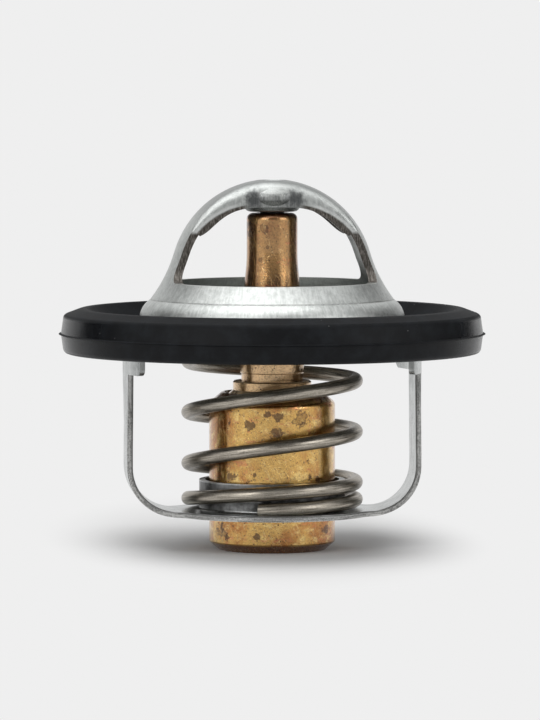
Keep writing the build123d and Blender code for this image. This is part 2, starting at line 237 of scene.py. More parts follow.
class Recipe:
    """A node tree that a finish is written into."""

    def __init__(self, tree: bpy.types.NodeTree) -> None:
        """Empties a node tree.

        Args:
            tree: The tree of a material or of the world.
        """
        self.tree = tree
        tree.nodes.clear()

    def node(self, kind: str, settings: dict[str, Any] | None = None, out: str | int = 0,
             **inputs: Any) -> Wire:
        """Adds one node of any kind.

        Args:
            kind: The node's type, without its ShaderNode prefix.
            settings: Its own settings, which are set first.
            out: The output that is wanted.
            inputs: Sockets by identifier, an underscore standing for a space.

        Returns:
            The wanted output.
        """
        made = self.tree.nodes.new("ShaderNode" + kind)
        for key, value in (settings or {}).items():
            setattr(made, key, value)
        for key, value in inputs.items():
            known = {socket.identifier for socket in made.inputs}
            name = key if key in known else key.replace("_", " ")
            plug(self.tree, find(made.inputs, name), value)
        return Wire(self.tree, find(made.outputs, out) if made.outputs else None)

    def blend(self, factor: Wire, first: Wire | Colour, second: Wire | Colour) -> Wire:
        """Mixes two colours.

        Args:
            factor: Share of the second one.
            first: Colour at 0.
            second: Colour at 1.

        Returns:
            The mixed colour.
        """
        return self.node("Mix", {"data_type": "RGBA"}, "Result_Color", Factor_Float=factor,
                         A_Color=first, B_Color=second)

    def place(self) -> tuple[Wire, Wire, Wire]:
        """Object coordinates in millimetres, one wire for each axis."""
        return self._split("Object", 1 / MM)

    def facing(self) -> tuple[Wire, Wire, Wire]:
        """The surface's direction in the piece's own axes."""
        return self._split("Normal", 1.0)

    def _split(self, output: str, factor: float) -> tuple[Wire, Wire, Wire]:
        """Splits a coordinate into three scaled wires.

        Args:
            output: Output of Texture Coordinate.
            factor: What each value is multiplied by.

        Returns:
            X, Y and Z.
        """
        vector = self.node("TexCoord", out=output)
        parts = self.tree.nodes.new("ShaderNodeSeparateXYZ")
        self.tree.links.new(vector.socket, parts.inputs[0])
        return tuple(Wire(self.tree, parts.outputs[axis]) * factor for axis in range(3))

    def surface(self, colour: Wire, metallic: float, roughness: Wire, height: Wire,
                depth_mm: float, specular: float = 0.5, coat: float = 0.0) -> None:
        """Ends a material in a Principled shader.

        Args:
            colour: Base colour.
            metallic: 1 for bare metal.
            roughness: Roughness over the surface.
            height: Bump height from 0 to 1.
            depth_mm: What a height of 1 stands for.
            specular: Specular level of a surface that isn't metal.
            coat: Weight of a thin clear film.
        """
        bump = self.node("Bump", out="Normal", Strength=1.0, Distance=depth_mm * MM,
                         Height=height)
        shader = self.node("BsdfPrincipled", out="BSDF", Base_Color=colour, Metallic=metallic,
                           Roughness=roughness, Specular_IOR_Level=specular, Coat_Weight=coat,
                           Normal=bump)
        self.node("OutputMaterial", Surface=shader)


@dataclass(frozen=True)
class Pattern:
    """A procedural texture on a coordinate that is first moved and then stretched."""

    scale: float

    def _lay(self, recipe: Recipe, values: tuple[Wire | float, ...], shift: Triple,
             stretch: Triple) -> Wire:
        """Moves and stretches a coordinate.

        Args:
            recipe: The tree.
            values: The coordinate's three parts.
            shift: What is added to each.
            stretch: What each is then multiplied by.

        Returns:
            The coordinate as a vector.
        """
        laid = []
        for value, move, factor in zip(values, shift, stretch):
            moved = value + move if move else value
            laid.append(moved * factor if factor != 1.0 else moved)
        return recipe.node("CombineXYZ", X=laid[0], Y=laid[1], Z=laid[2])


@dataclass(frozen=True)
class Noise(Pattern):
    """Cloudy noise."""

    detail: float = 4.0
    roughness: float = 0.55
    stretch: Triple = (1.0, 1.0, 1.0)
    shift: Triple = (0.0, 0.0, 0.0)

    def on(self, recipe: Recipe, *values: Wire | float) -> Wire:
        """Adds the noise.

        Args:
            recipe: The tree.
            values: The coordinate's three parts.

        Returns:
            The noise, about 0.5.
        """
        vector = self._lay(recipe, values, self.shift, self.stretch)
        return recipe.node("TexNoise", out="Fac", Vector=vector, Scale=self.scale,
                           Detail=self.detail, Roughness=self.roughness)


@dataclass(frozen=True)
class Specks(Pattern):
    """Round specks at scattered points."""

    fade: Span
    shift: Triple = (0.0, 0.0, 0.0)

    def on(self, recipe: Recipe, *values: Wire | float) -> Wire:
        """Adds the specks.

        Args:
            recipe: The tree.
            values: The coordinate's three parts.

        Returns:
            Their mask.
        """
        vector = self._lay(recipe, values, self.shift, (1.0, 1.0, 1.0))
        away = recipe.node("TexVoronoi", out="Distance", Vector=vector, Scale=self.scale)
        return away.rise(*self.fade)


@dataclass(frozen=True)
class Tint:
    """A colour that covers another one by a share of its own."""

    colour: Colour
    share: float

    def over(self, recipe: Recipe, under: Wire, mask: Wire) -> Wire:
        """Lays the colour over another one.

        Args:
            recipe: The tree.
            under: The colour under it.
            mask: Where it lies.

        Returns:
            The mixed colour.
        """
        return recipe.blend(mask * self.share, under, self.colour)


def new_material(name: str) -> tuple[bpy.types.Material, Recipe]:
    """Makes a material with an empty tree.

    Args:
        name: Its name.

    Returns:
        The material and the tree.
    """
    made = bpy.data.materials.new(name)
    made.use_nodes = True
    return made, Recipe(made.node_tree)


def new_object(name: str, mesh: bmesh.types.BMesh) -> bpy.types.Object:
    """Turns a finished mesh into an object at the origin.

    Args:
        name: The object's name.
        mesh: The mesh, which is freed.

    Returns:
        The object.
    """
    data = bpy.data.meshes.new(name)
    mesh.to_mesh(data)
    mesh.free()
    made = bpy.data.objects.new(name, data)
    bpy.context.scene.collection.objects.link(made)
    return made


@dataclass(frozen=True)
class Finish:
    """A finish that can be written into a material.

    Fields that end in x, z or r are in millimetres, and spans are the values between which a
    mask goes from 0 to 1.
    """

    name: str

    def material(self) -> bpy.types.Material:
        """Makes the material.

        Returns:
            A material named after the finish.
        """
        made, recipe = new_material(self.name)
        self.write(recipe)
        return made

    def write(self, recipe: Recipe) -> None:
        """Writes the nodes.

        Args:
            recipe: The material's tree.
        """
        raise NotImplementedError


@dataclass(frozen=True)
class PlatedSheet(Finish):
    """Zinc plate on drawn sheet: grain, draw lines, pits, a crease, dark sheared faces, painted
    shade and highlight.
    """

    pale: Colour = (0.60, 0.62, 0.605)
    dull: Colour = (0.37, 0.385, 0.375)
    sheared: Colour = (0.042, 0.035, 0.028)
    torn: Colour = (0.25, 0.23, 0.21)
    boss_dark: Colour = (0.12, 0.125, 0.12)
    boss_pale: Colour = (0.40, 0.41, 0.40)
    speckled: Colour = (0.18, 0.19, 0.19)
    underside_shade: Colour = (0.16, 0.165, 0.155)
    crest_shade: Tint = Tint((0.25, 0.26, 0.255), 0.85)
    dent_shade: Tint = Tint((0.06, 0.063, 0.066), 0.8)
    lip_highlight: Tint = Tint((0.78, 0.79, 0.78), 0.6)
    crease_shade: Tint = Tint((0.14, 0.14, 0.135), 0.55)

    draw_noise: Noise = Noise(2.4, 5.0, 0.7, stretch=(22.0, 0.22, 1.0))
    grain_noise: Noise = Noise(6.0, 5.0, 0.7)
    mottle_noise: Noise = Noise(1.5, 4.0, 0.65)
    cloud_noise: Noise = Noise(0.30, 3.0)
    tear_noise: Noise = Noise(1.6, 4.0, 0.7, stretch=(4.0, 1.0, 0.7))
    streak_noise: Noise = Noise(1.3, 4.0, 0.7, stretch=(6.0, 6.0, 0.5))
    pit_specks: Specks = Specks(1.1, (0.11, 0.03))

    wear: Span = (0.36, 0.62)
    speckle: Span = (0.50, 0.72)
    tear: Span = (0.42, 0.70)
    boss_streak: Span = (0.35, 0.65)
    crest_up: Span = (0.35, 0.9)
    crest_z: Span = (44.0, 49.0)
    down: Span = (0.0, -0.7)

    dome_z: float = 38.25
    wall_r: float = 11.65
    wall_growth: float = 0.20
    wall_soft: float = 0.12
    wall_across: Span = (0.8, 0.93)
    leg_top_z: float = 45.3
    leg_soft_z: float = 0.3
    leg_in_x: float = 10.8
    leg_soft_x: float = 0.4
    shear_from_z: float = 38.25
    shear_soft_z: float = 0.1
    shear_along: Span = (0.30, 0.12)

    lip_inner: Span = (0.0, 0.15)
    lip_outer: Span = (0.55, 0.25)
    lip_x: Span = (4.5, 6.5)
    lip_across: Span = (0.5, 0.8)

    boss_r: float = 3.9
    boss_z: float = 51.2
    boss_soft_z: float = 0.8
    boss_foot_z: Span = (47.0, 47.6)

    dent_x: float = 2.9
    dent_z: float = 50.0
    dent_ragged: float = 2.4
    dent_fade: Span = (1.9, 0.4)
    dent_across: Span = (0.35, 0.7)

    crease_z: float = 35.7
    crease_fade: Span = (0.14, 0.03)
    crease_up: Span = (0.05, 0.3)
    crease_breaks: Span = (0.36, 0.58)

    roughness: float = 0.32
    relief_mm: float = 0.05

    def write(self, recipe: Recipe) -> None:
        """Writes the plated sheet's nodes."""
        x, y, z = spot = recipe.place()
        facing = recipe.facing()
        up = facing[2]
        drawn = self.draw_noise.on(recipe, angle(x, y), z, 0.0)
        grain = self.grain_noise.on(recipe, *spot)
        mottle = self.mottle_noise.on(recipe, *spot)
        cloud = self.cloud_noise.on(recipe, *spot)
        tears = self.tear_noise.on(recipe, x, 0.0, z)
        pits = self.pit_specks.on(recipe, *spot)
        wall, lip = self._rib(spot, facing)
        boss = self._boss(spot)
        crease = (abs(z - self.crease_z).rise(*self.crease_fade) * up.rise(*self.crease_up)
                  * drawn.rise(*self.crease_breaks))

        worn = (cloud * 0.2 + drawn * 0.45 + mottle * 0.35).rise(*self.wear)
        colour = recipe.blend(worn, self.dull, self.pale)
        # Painted shade: the upward faces of the crest high on the bridge are darkened.
        crest = up.rise(*self.crest_up) * z.rise(*self.crest_z)
        colour = self.crest_shade.over(recipe, colour, crest)
        streaks = self.streak_noise.on(recipe, *spot).rise(*self.boss_streak)
        streaked = recipe.blend(streaks, self.boss_dark, self.boss_pale)
        colour = recipe.blend(boss * 0.8, colour, streaked)
        # Painted shade: two ragged dark patches beside the boss stand in for the shade of dents.
        colour = self.dent_shade.over(recipe, colour, self._dent_shade(spot, facing[1], mottle))
        # Painted highlight on the lip just outside the rib walls.
        colour = self.lip_highlight.over(recipe, colour, lip)
        speckles = (grain.rise(*self.speckle) * 0.36).larger(pits * 0.75)
        colour = recipe.blend(speckles, colour, self.speckled)
        # Painted shade: a dark line along the crease on its upward faces, broken by the draw
        # lines.
        colour = self.crease_shade.over(recipe, colour, crease)
        brown = recipe.blend(tears.rise(*self.tear), self.sheared, self.torn)
        colour = recipe.blend(wall * 0.96, colour, brown)
        # Painted shade on downward faces, weaker on the boss.
        below = up.rise(*self.down) * (0.55 - boss * 0.35)
        colour = recipe.blend(below, colour, self.underside_shade)

        rough = (grain * 0.26 + drawn * 0.12 + mottle * 0.12 + wall * 0.16
                 + (self.roughness - 0.18))
        relief = (drawn * 0.35 + grain * 0.5 + mottle * 0.25 + wall * tears * 0.5 - pits * 0.6
                  - crease * 0.5)
        recipe.surface(colour, 1.0, rough, relief, self.relief_mm)

    def _rib(self, spot: tuple[Wire, ...], facing: tuple[Wire, ...]) -> tuple[Wire, Wire]:
        """The bridge's sheared walls and legs, and the lip outside them that gets a painted
        highlight.

        Args:
            spot: The point.
            facing: The surface's direction there.

        Returns:
            Mask of the walls and mask of the lip.
        """
        x, _, z = spot
        along, across, _ = facing
        centre = length(x, z - self.dome_z)
        lip_r = (abs(x) - self.boss_r).larger(0.0) * self.wall_growth + self.wall_r
        rib = (lip_r - centre).above(0.0, self.wall_soft) * abs(across).rise(*self.wall_across)
        leg = (z.below(self.leg_top_z, self.leg_soft_z)
               * abs(x).above(self.leg_in_x, self.leg_soft_x))
        cut = abs(along).rise(*self.shear_along) * z.above(self.shear_from_z, self.shear_soft_z)
        wall = cut * rib.larger(leg) * abs(x).rise(self.boss_r - 0.5, self.boss_r + 0.7)
        past = centre - lip_r
        lip = (past.rise(*self.lip_inner) * past.rise(*self.lip_outer)
               * abs(x).rise(*self.lip_x) * abs(across).rise(*self.lip_across))
        return wall, lip

    def _boss(self, spot: tuple[Wire, ...]) -> Wire:
        """Mask of the boss that is pressed down in the middle of the bridge."""
        x, _, z = spot
        return (abs(x).rise(self.boss_r + 0.6, self.boss_r - 0.3)
                * z.below(self.boss_z, self.boss_soft_z) * z.rise(*self.boss_foot_z))

    def _dent_shade(self, spot: tuple[Wire, ...], across: Wire, mottle: Wire) -> Wire:
        """Mask of the painted shade in two ragged patches beside the boss."""
        x, _, z = spot
        away = (length(abs(x) - self.dent_x, z - self.dent_z)
                + mottle * self.dent_ragged - self.dent_ragged / 2)
        return away.rise(*self.dent_fade) * abs(across).rise(*self.dent_across)


@dataclass(frozen=True)
class PlatedStrip(Finish):
    """Zinc plate on bent strip: bright faces, striated cut edges and painted shade on the collar.
    """

    pale: Colour = (0.64, 0.655, 0.65)
    dull: Colour = (0.36, 0.375, 0.37)
    dark: Colour = (0.045, 0.045, 0.043)
    edge_dark: Colour = (0.16, 0.158, 0.152)
    edge_pale: Colour = (0.60, 0.60, 0.585)
    collar_shade_pale: Colour = (0.22, 0.22, 0.22)
    speckled: Colour = (0.2, 0.2, 0.2)

    grain_noise: Noise = Noise(6.0, 4.0, 0.65)
    cloud_noise: Noise = Noise(0.35, 4.0, 0.6)
    rolled_noise: Noise = Noise(1.6, 4.0, 0.65, stretch=(4.0, 0.2, 0.2))
    striae_noise: Noise = Noise(1.3, 5.0, 0.7, stretch=(5.0, 0.25, 0.25))
    hatch_noise: Noise = Noise(6.5, 3.0, 0.6)
    pit_specks: Specks = Specks(1.2, (0.10, 0.03))

    wear: Span = (0.36, 0.62)
    edge_wear: Span = (0.38, 0.62)
    collar_shade_patches: Span = (0.4, 0.6)
    speckle: Span = (0.5, 0.75)
    edge_across: Span = (0.85, 0.97)
    rim_up: Span = (0.5, 0.2)

    bend_x: float = 13.95
    bend_z: float = 12.0
    bend_r: float = 7.0
    thick: float = 0.8
    collar_out_r: float = 10.4
    collar_top_z: float = 10.0
    collar_foot_z: float = 5.8

    roughness: float = 0.27
    relief_mm: float = 0.035

    def write(self, recipe: Recipe) -> None:
        """Writes the plated strip's nodes."""
        x, y, z = spot = recipe.place()
        _, across, up = recipe.facing()
        beside = (abs(x) - self.bend_x).larger(0.0)
        under = (self.bend_z - z).larger(0.0)
        inward = self.bend_r - length(beside, under)
        grain = self.grain_noise.on(recipe, *spot)
        cloud = self.cloud_noise.on(recipe, *spot)
        rolled = self.rolled_noise.on(recipe, y, x, z)
        striae = self.striae_noise.on(recipe, inward, z, x)
        hatch = self.hatch_noise.on(recipe, *spot)
        pits = self.pit_specks.on(recipe, *spot)
        foot, out = self.collar_foot_z, self.collar_out_r
        rim = z.rise(foot + 0.05, foot - 0.1) * abs(up).rise(*self.rim_up)
        cut = abs(across).rise(*self.edge_across).larger(rim)
        collar = length(x, y).rise(out + 0.5, out + 0.1) * z.rise(foot + 0.1, foot + 0.5)
        lip = z.rise(self.collar_top_z - 0.25, self.collar_top_z - 0.1)

        face = recipe.blend((cloud * 0.5 + rolled * 0.5).rise(*self.wear), self.dull, self.pale)
        ridges = (striae * 0.5 + hatch * 0.5).rise(*self.edge_wear)
        edge = recipe.blend(ridges, self.edge_dark, self.edge_pale)
        inner = inward.rise(self.thick * 0.55, self.thick * 0.9)
        edge = recipe.blend(inner * 0.7, edge, self.dark)
        colour = recipe.blend(cut, face, edge)
        # Painted shade: the collar inside the spring is darkened, except for its top edge.
        collar_shade = recipe.blend(cloud.rise(*self.collar_shade_patches), self.dark, self.collar_shade_pale)
        colour = recipe.blend(collar * (1.0 - lip * 0.8) * 0.9, colour, collar_shade)
        speckles = (grain.rise(*self.speckle) * 0.3).larger(pits * 0.6)
        colour = recipe.blend(speckles, colour, self.speckled)

        rough = (grain * 0.2 + rolled * 0.12 + cut * 0.1 + collar * 0.1
                 + (self.roughness - 0.14))
        relief = rolled * 0.4 + grain * 0.4 + cut * striae * 0.7 - pits * 0.5
        recipe.surface(colour, 1.0, rough, relief, self.relief_mm)


@dataclass(frozen=True)
class Mark:
    """One ragged stain on the front of a turned piece."""

    x: float
    z: float
    radius: float
    ring: bool = False
    ragged_by: float = 3.4
    front_y: Span = (0.4, -0.2)

    def mask(self, x: Wire, y: Wire, z: Wire, ragged: Wire) -> Wire:
        """Where the stain lies.

        Args:
            x: Across the piece, in millimetres.
            y: Into the piece.
            z: Up the piece.
            ragged: Noise that makes the edge uneven.

        Returns:
            The stain, fainter inside its rim if it is a ring.
        """
        away = (length(x - self.x, z - self.z)
                + (ragged - 0.5) * (self.radius * self.ragged_by))
        disc = away.rise(self.radius, self.radius * 0.75) * y.rise(*self.front_y)
        if not self.ring:
            return disc
        return disc * (away.rise(self.radius * 0.45, self.radius * 0.8) * 0.5 + 0.5)


@dataclass(frozen=True)
class TarnishedBrass(Finish):
    """Drawn or turned copper alloy: warm patches, rimmed blotches, specks, fine scratches, painted
    glints and painted shade.
    """

    gold: Colour = (0.68, 0.415, 0.12)
    orange: Colour = (0.46, 0.195, 0.05)
    brown: Colour = (0.085, 0.036, 0.016)
    ruddy: Tint = Tint((0.62, 0.22, 0.10), 0.75)
    # glow paints glints: random brighter patches that stand in for highlights.
    glow: Tint = Tint((0.92, 0.68, 0.27), 0.6)
    neck: Tint = Tint((0.80, 0.56, 0.31), 0.7)
    # end paints shade: a dark band at the foot and at the top.
    end: Tint = Tint((0.13, 0.042, 0.014), 0.9)
    scratch: Tint = Tint((0.90, 0.70, 0.36), 0.28)

    cloud_noise: Noise = Noise(0.20, 4.0, 0.6)
    warp_noise: Noise = Noise(0.7, 3.0, shift=(0.0, 7.0, 0.0))
    patch_noise: Noise = Noise(0.34, 6.0, 0.62)
    ruddy_noise: Noise = Noise(0.33, 5.0, 0.62, stretch=(1.0, 1.0, 2.4), shift=(-13.0, 0.0, 0.0))
    glint_noise: Noise = Noise(0.55, 5.0, 0.7, stretch=(1.0, 1.0, 1.5), shift=(5.0, 0.0, 0.0))
    fine_noise: Noise = Noise(3.4, 5.0, 0.68)
    turned_noise: Noise = Noise(1.7, 4.0, 0.7, stretch=(3.0, 1.0, 7.0))
    smear_noise: Noise = Noise(1.0, 4.0, 0.7, stretch=(1.6, 1.0, 0.35))
    ragged_noise: Noise = Noise(1.2, 5.0, 0.7, shift=(0.0, 0.0, 9.0))
    hair_noise: Noise = Noise(1.1, 2.0)
    hair_pull: Triple = (0.9, 0.9, 0.16)
    hair_lean: float = 0.35
    warp_x: float = 4.0
    warp_z: float = 3.0
    dot_specks: Specks = Specks(0.9, (0.14, 0.06))
    fine_specks: Specks = Specks(2.2, (0.24, 0.10), shift=(0.0, 0.0, 40.0))

    orange_fade: Span = (0.43, 0.62)
    ruddy_fade: Span = (0.56, 0.68)
    glint_fade: Span = (0.50, 0.66)
    smear_fade: Span = (0.44, 0.62)
    hair_fade: Span = (0.014, 0.002)
    speck_breaks: Span = (0.40, 0.55)
    shade_fade: Span = (0.48, 0.72)
    stain_level: float = 0.60
    marks: tuple[Mark, ...] = ()

    foot_z: float = 1.4
    top_z: float = 21.9
    streak_z: float = -1.0
    neck_z: float = -1.0

    roughness: float = 0.13
    relief_mm: float = 0.03
    coat: float = 0.6

    def write(self, recipe: Recipe) -> None:
        """Writes the tarnished alloy's nodes."""
        x, y, z = spot = recipe.place()
        warp = self.warp_noise.on(recipe, *spot)
        patch = self.patch_noise.on(recipe, x + warp * self.warp_x, y, z + warp * self.warp_z)
        fine = self.fine_noise.on(recipe, *spot)
        turned = self.turned_noise.on(recipe, angle(x, y), 0.0, z)
        blot = patch.rise(self.stain_level, self.stain_level + 0.03)
        rim = blot * patch.rise(self.stain_level + 0.09, self.stain_level + 0.04)
        dots = self.dot_specks.on(recipe, *spot)
        specks = self.fine_specks.on(recipe, *spot) * warp.rise(*self.speck_breaks)
        pull_x, pull_y, pull_z = self.hair_pull
        hair = self.hair_noise.on(recipe, x * pull_x + z * self.hair_lean, y * pull_y, z * pull_z)
        hair = abs(hair - 0.5).rise(*self.hair_fade)
        ends = z.rise(self.foot_z, self.foot_z - 0.5).larger(z.rise(self.top_z - 0.7, self.top_z))

        dark = (blot * 0.62).larger(rim * 0.95).larger(dots * 0.9).larger(specks * 0.85)
        ragged = self.ragged_noise.on(recipe, *spot)
        for mark in self.marks:
            dark = dark.larger(mark.mask(x, y, z, ragged) * 0.8)
        dark = dark.larger(self._smear(recipe, spot) * 0.75)

        colour = recipe.blend(dark, self._metal(recipe, spot), self.brown)
        # Painted shade in narrow bands at the foot and at the top.
        colour = self.end.over(recipe, colour, ends)
        colour = self.scratch.over(recipe, colour, hair)
        colour = recipe.blend(fine.rise(*self.shade_fade) * 0.5, colour, self.brown)

        rough = (fine * 0.16 + blot * 0.14 + dots * 0.2 + turned * 0.08 + ends * 0.12
                 + (self.roughness - 0.1))
        relief = turned * 0.45 + fine * 0.5 - blot * 0.3 - hair * 0.3
        recipe.surface(colour, 1.0, rough, relief, self.relief_mm, coat=self.coat)

    def _metal(self, recipe: Recipe, spot: tuple[Wire, ...]) -> Wire:
        """Colour of the alloy before stains, with painted glints, paler below the neck."""
        cloud = self.cloud_noise.on(recipe, *spot).rise(*self.orange_fade)
        colour = recipe.blend(cloud, self.gold, self.orange)
        ruddy = self.ruddy_noise.on(recipe, *spot).rise(*self.ruddy_fade)
        colour = self.ruddy.over(recipe, colour, ruddy)
        # Painted glints in random patches.
        glow = self.glint_noise.on(recipe, *spot).rise(*self.glint_fade)
        colour = self.glow.over(recipe, colour, glow)
        return self.neck.over(recipe, colour, spot[2].rise(self.neck_z + 1.0, self.neck_z))

    def _smear(self, recipe: Recipe, spot: tuple[Wire, ...]) -> Wire:
        """Mask of the upright smears in a band below streak_z."""
        z = spot[2]
        smear = self.smear_noise.on(recipe, *spot).rise(*self.smear_fade)
        return (smear * z.rise(self.streak_z, self.streak_z - 3.0)
                * z.rise(self.streak_z - 7.0, self.streak_z - 5.0))


@dataclass(frozen=True)
class SpringWire(Finish):
    """Dark drawn wire: streaks along the wire and a soft sheen."""

    dark: Colour = (0.15, 0.132, 0.108)
    light: Colour = (0.60, 0.55, 0.47)
    streak_noise: Noise = Noise(2.0, 5.0, 0.65, stretch=(9.0, 2.6, 1.0))
    grain_noise: Noise = Noise(6.0, 4.0, 0.65)
    wear: Span = (0.34, 0.68)
    roughness: float = 0.14
    relief_mm: float = 0.025

    def write(self, recipe: Recipe) -> None:
        """Writes the drawn wire's nodes, on its own turns and way round."""
        along = recipe.node("Attribute", {"attribute_name": "along"}, "Fac")
        around = recipe.node("Attribute", {"attribute_name": "around"}, "Fac")
        streak = self.streak_noise.on(recipe, along, around, 0.0)
        grain = self.grain_noise.on(recipe, *recipe.place())
        colour = recipe.blend((streak * 0.7 + grain * 0.3).rise(*self.wear), self.dark, self.light)
        rough = streak * 0.2 + grain * 0.16 + self.roughness
        recipe.surface(colour, 1.0, rough, streak * 0.6 + grain * 0.4, self.relief_mm)


@dataclass(frozen=True)
class MouldedRubber(Finish):
    """Moulded black rubber: satin, faint bloom, a few pale specks."""

    black: Colour = (0.005, 0.0055, 0.0065)
    bloom: Colour = (0.0095, 0.011, 0.013)
    dust: Tint = Tint((0.4, 0.4, 0.4), 0.5)
    cloud_noise: Noise = Noise(0.35, 4.0, 0.6)
    fine_noise: Noise = Noise(5.0, 4.0, 0.6)
    dust_specks: Specks = Specks(0.45, (0.035, 0.015))
    bloom_fade: Span = (0.4, 0.7)
    end_along: Span = (0.70, 0.90)
    bevel_up: Span = (0.05, 0.45)
    roughness: float = 0.43
    specular: float = 0.13
    relief_mm: float = 0.03

    def write(self, recipe: Recipe) -> None:
        """Writes the rubber's nodes, smoother at its ends and rougher on its bevel."""
        spot = recipe.place()
        along, _, up = recipe.facing()
        cloud = self.cloud_noise.on(recipe, *spot)
        fine = self.fine_noise.on(recipe, *spot)
        colour = recipe.blend(cloud.rise(*self.bloom_fade), self.black, self.bloom)
        colour = self.dust.over(recipe, colour, self.dust_specks.on(recipe, *spot))
        rough = (fine * 0.16 + cloud * 0.1 + up.rise(*self.bevel_up) * 0.26
                 - abs(along).rise(*self.end_along) * 0.24 + (self.roughness - 0.13))
        recipe.surface(colour, 0.0, rough, fine * 0.6 + cloud * 0.4, self.relief_mm,
                       specular=self.specular)


@dataclass(frozen=True)
class PlainInner(Finish):
    """A smooth inner piece: a slight change of tone and a fine grain."""

    tone: Colour = (0.5, 0.5, 0.5)
    metallic: float = 0.0
    roughness: float = 0.4
    shade: float = 0.72
    cloud_noise: Noise = Noise(0.6, 4.0)
    fine_noise: Noise = Noise(5.0, 3.0)
    shade_fade: Span = (0.35, 0.65)
    relief_mm: float = 0.015

    def write(self, recipe: Recipe) -> None:
        """Writes the inner piece's nodes."""
        spot = recipe.place()
        cloud = self.cloud_noise.on(recipe, *spot)
        fine = self.fine_noise.on(recipe, *spot)
        darker = tuple(value * self.shade for value in self.tone)
        colour = recipe.blend(cloud.rise(*self.shade_fade), self.tone, darker)
        rough = fine * 0.15 + (self.roughness - 0.07)
        recipe.surface(colour, self.metallic, rough, fine * 0.6 + cloud * 0.4, self.relief_mm)


def dress(node: str, finish: Finish) -> None:
    """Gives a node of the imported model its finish.

    Args:
        node: The node's name.
        finish: The finish.
    """
    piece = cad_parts[node]
    piece.data.materials.clear()
    piece.data.materials.append(finish.material())
    log.info("dressed %s with %s", node, finish.name)


